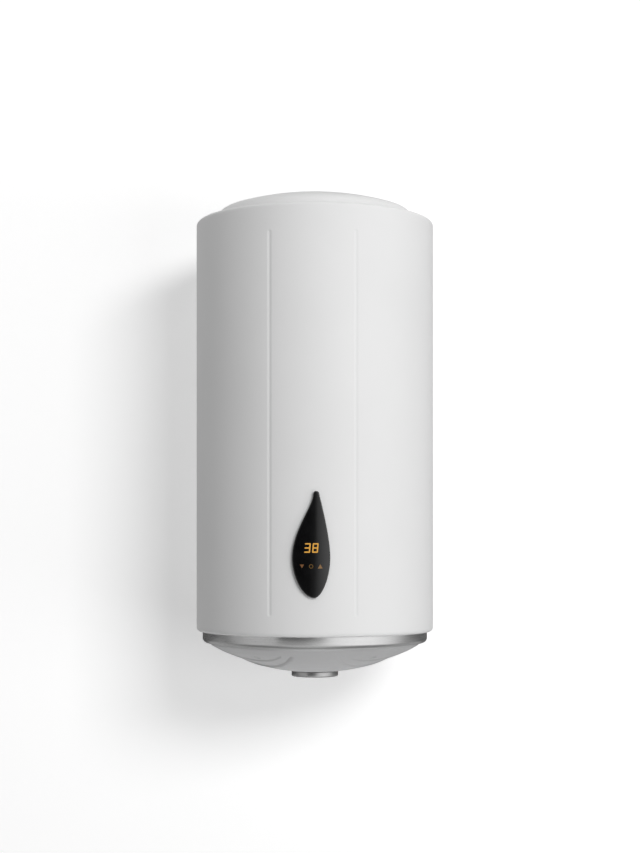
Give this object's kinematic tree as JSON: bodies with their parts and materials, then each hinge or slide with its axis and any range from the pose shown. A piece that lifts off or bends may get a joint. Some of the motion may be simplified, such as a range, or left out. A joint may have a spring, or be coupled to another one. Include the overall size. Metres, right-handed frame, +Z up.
{
  "type": "storage water heater",
  "caption": "Wall-hung electric storage water heater: white steel jacket, silver bottom cover, black teardrop display panel.",
  "frame": {"origin": "centre of the four wall bolt slots, on the wall plane", "axes": "+Z up along the tank, +Y into the wall, front towards -Y"},
  "size_m": [0.45, 0.4725, 0.9125],
  "materials": {
    "white_enamel": "gloss white enamel",
    "white_plastic": "moulded white",
    "brushed_band": "brushed along the band",
    "silver_plastic": "silver satin",
    "knob_metal": "turned, dark satin",
    "black_panel": "satin black",
    "dark_plastic": "matte",
    "black_foam": "foam rubber",
    "yellow_foam": "cellular polyurethane",
    "tank_enamel": "glass-lined steel, primed outside",
    "zinc_steel": "zinc plated",
    "grey_rubber": "moulded",
    "copper_sheath": "copper sheathed element",
    "magnesium": "cast",
    "black_phenolic": "moulded",
    "red_plastic": "moulded",
    "blue_plastic": "moulded",
    "ivory_plastic": "moulded",
    "board_green": "coated board",
    "pan_plastic": "moulded",
    "bracket_paint": "powder coat",
    "light_amber": "tinted light module"
  },
  "bodies": {
    "root": {"outer_jacket": "white_enamel", "top_cap": "white_plastic", "trim_ring": "brushed_band", "bottom_cover": "silver_plastic", "cover_screws": "zinc_steel", "base_pan": "pan_plastic", "foam_insulation": "yellow_foam", "tank_shell": "tank_enamel", "tank_flange": "tank_enamel", "flange_studs": "zinc_steel", "flange_nuts": "zinc_steel", "flange_gasket": "grey_rubber", "flange_plate": "zinc_steel", "heating_element": "copper_sheath", "anode_rod": "magnesium", "anode_nut": "zinc_steel", "sensor_sleeve": "copper_sheath", "thermostat_body": "black_phenolic", "thermal_cutout": "black_phenolic", "earth_screw": "copper_sheath", "board_case": "ivory_plastic", "terminal_block": "ivory_plastic", "cold_pipe": "zinc_steel", "hot_pipe": "zinc_steel", "cold_collar": "blue_plastic", "hot_collar": "red_plastic", "hot_dip_tube": "ivory_plastic", "cold_diffuser": "ivory_plastic", "cable_gland": "dark_plastic", "panel_lens": "black_panel", "panel_frame": "dark_plastic", "panel_gasket": "black_foam", "panel_screws": "zinc_steel", "display_board": "board_green", "digit_display": "light_amber", "touch_pads": "grey_rubber", "display_cable": "dark_plastic", "bracket_legs": "bracket_paint", "lower_strap": "bracket_paint", "upper_strap": "bracket_paint"},
    "knob": {"thermostat_knob": "knob_metal", "knob_spindle": "zinc_steel"},
    "cutout_button": {"reset_button": "red_plastic"}
  },
  "joints": [
    {"name": "thermostat_turn", "type": "hinge", "parent": "root", "child": "knob", "pos_m": [0, -0.24, -0.47], "axis": [0, 0, 1], "range_deg": [0, 270]},
    {"name": "reset_press", "type": "slide", "parent": "root", "child": "cutout_button", "axis": [0, 0, 1], "range_m": [0, 0.0015], "stiffness_N_per_m": 900, "springref_m": -0.002}
  ]
}
